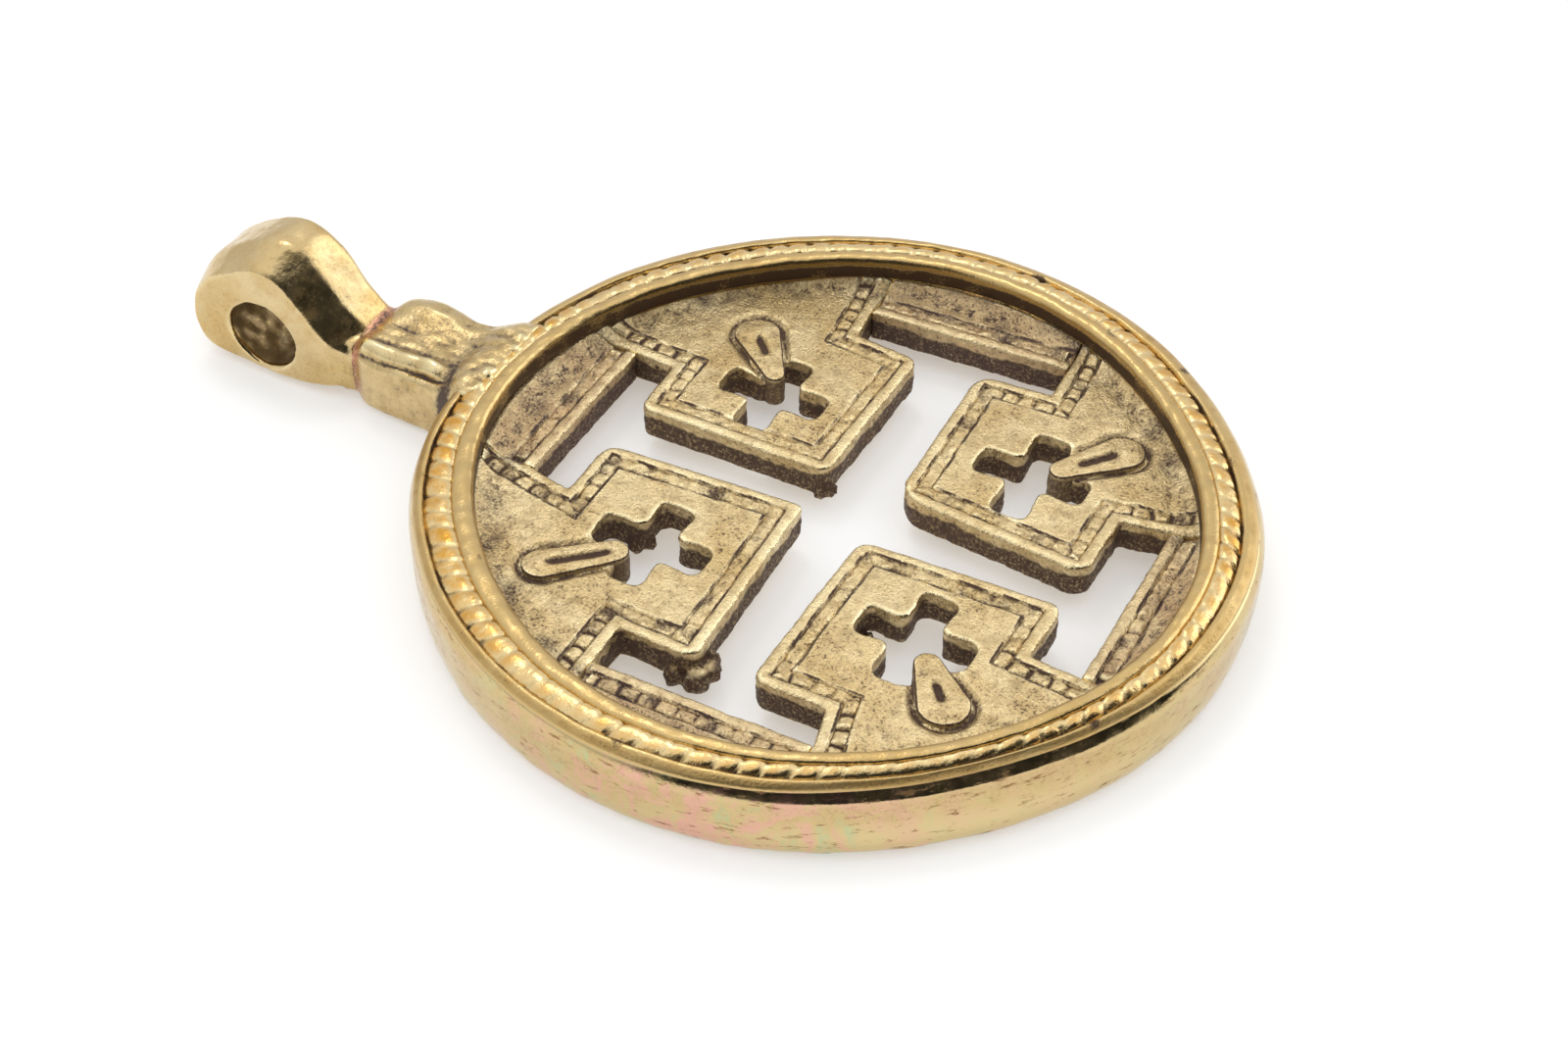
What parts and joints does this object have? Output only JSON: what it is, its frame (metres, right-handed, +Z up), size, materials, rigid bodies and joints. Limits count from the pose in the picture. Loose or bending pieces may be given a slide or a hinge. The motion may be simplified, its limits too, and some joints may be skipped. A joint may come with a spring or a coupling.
{
  "type": "openwork pendant",
  "caption": "Round openwork pendant with a cross cut-out, a rope-edged rim, a neck and a drilled bail for a cord.",
  "frame": {"origin": "on the table, under the middle of the box round the whole pendant, as it lies on its back", "axes": "+Y from the disc to the bail, +Z up out of the decorated face, +X to the right of the decorated face"},
  "size_m": [0.0334, 0.0465, 0.0065],
  "materials": {
    "polished_brass": "rubbed bright, with faint tarnish",
    "worn_brass": "cast, its high edges rubbed bright",
    "tinted_brass": "cast, with a warm golden tint and dark hollows",
    "cast_brass": "as cast, satin, dark in the lines",
    "patinated_brass": "as cast, with brown patina"
  },
  "bodies": {
    "root": {"rim_ring": "polished_brass", "rim_inner_band": "worn_brass", "rim_rope": "tinted_brass", "rim_outer_band": "worn_brass", "quadrant_top_right": "cast_brass", "quadrant_top_left": "cast_brass", "quadrant_bottom_left": "cast_brass", "quadrant_bottom_right": "cast_brass", "web_top": "patinated_brass", "web_left": "patinated_brass", "web_bottom": "patinated_brass", "web_right": "patinated_brass", "border_top_right": "cast_brass", "border_top_left": "cast_brass", "border_bottom_left": "cast_brass", "border_bottom_right": "cast_brass", "web_border_top": "patinated_brass", "web_border_left": "patinated_brass", "web_border_bottom": "patinated_brass", "web_border_right": "patinated_brass", "teardrop_top_right": "cast_brass", "teardrop_top_left": "cast_brass", "teardrop_bottom_left": "cast_brass", "teardrop_bottom_right": "cast_brass", "neck": "cast_brass", "bail_head": "polished_brass"}
  },
  "joints": []
}
